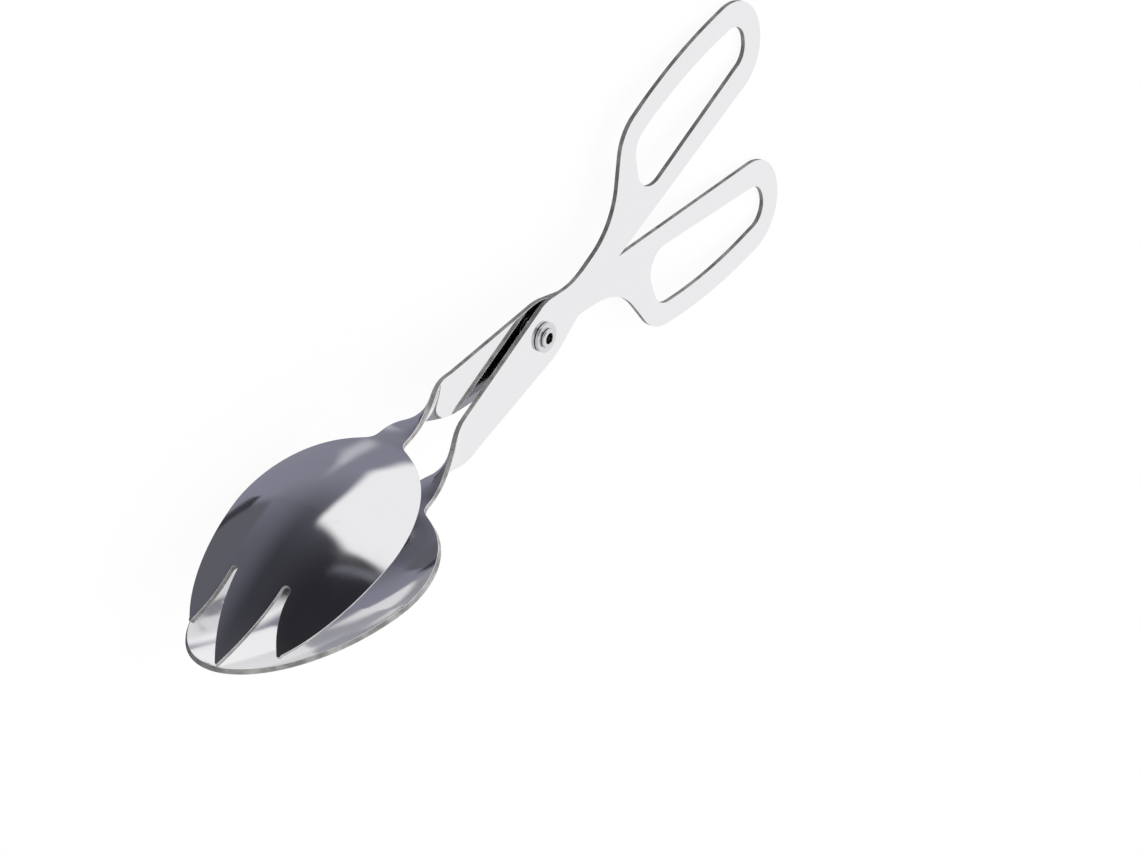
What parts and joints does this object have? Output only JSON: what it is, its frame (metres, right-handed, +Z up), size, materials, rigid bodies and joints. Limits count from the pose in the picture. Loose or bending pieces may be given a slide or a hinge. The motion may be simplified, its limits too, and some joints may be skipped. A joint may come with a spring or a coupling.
{
  "type": "serving and barbecue tongs",
  "caption": "Scissor-action tongs of pressed stainless sheet: finger loops, a riveted pivot, twisted necks, a spoon blade and a slotted fork blade.",
  "frame": {"origin": "bottom centre of the bounding box: the level surface that the tongs rest on, lying on both finger loops and one blade", "axes": "+X along the tongs from the finger loops towards the blades, +Z up, +Y across in the way the arms open"},
  "size_m": [0.2672, 0.0912, 0.0561],
  "materials": {
    "polished_sheet": "mirror polished stainless sheet with tumbled cut edges",
    "rivet_steel": "bright drawn steel"
  },
  "bodies": {
    "spoon_side": {"spoon_arm": "polished_sheet", "rivet": "rivet_steel", "tail_washer": "rivet_steel", "spacer_washer": "rivet_steel", "head_washer_inner": "rivet_steel", "head_washer_outer": "rivet_steel"},
    "fork_side": {"fork_arm": "polished_sheet"}
  },
  "joints": [
    {"name": "rivet_pivot", "type": "hinge", "parent": "spoon_side", "child": "fork_side", "pos_m": [-0.01407, 0, 0.01573], "axis": [0.1233, 0.0452, -0.9913], "range_deg": [-0.2, 60]}
  ]
}
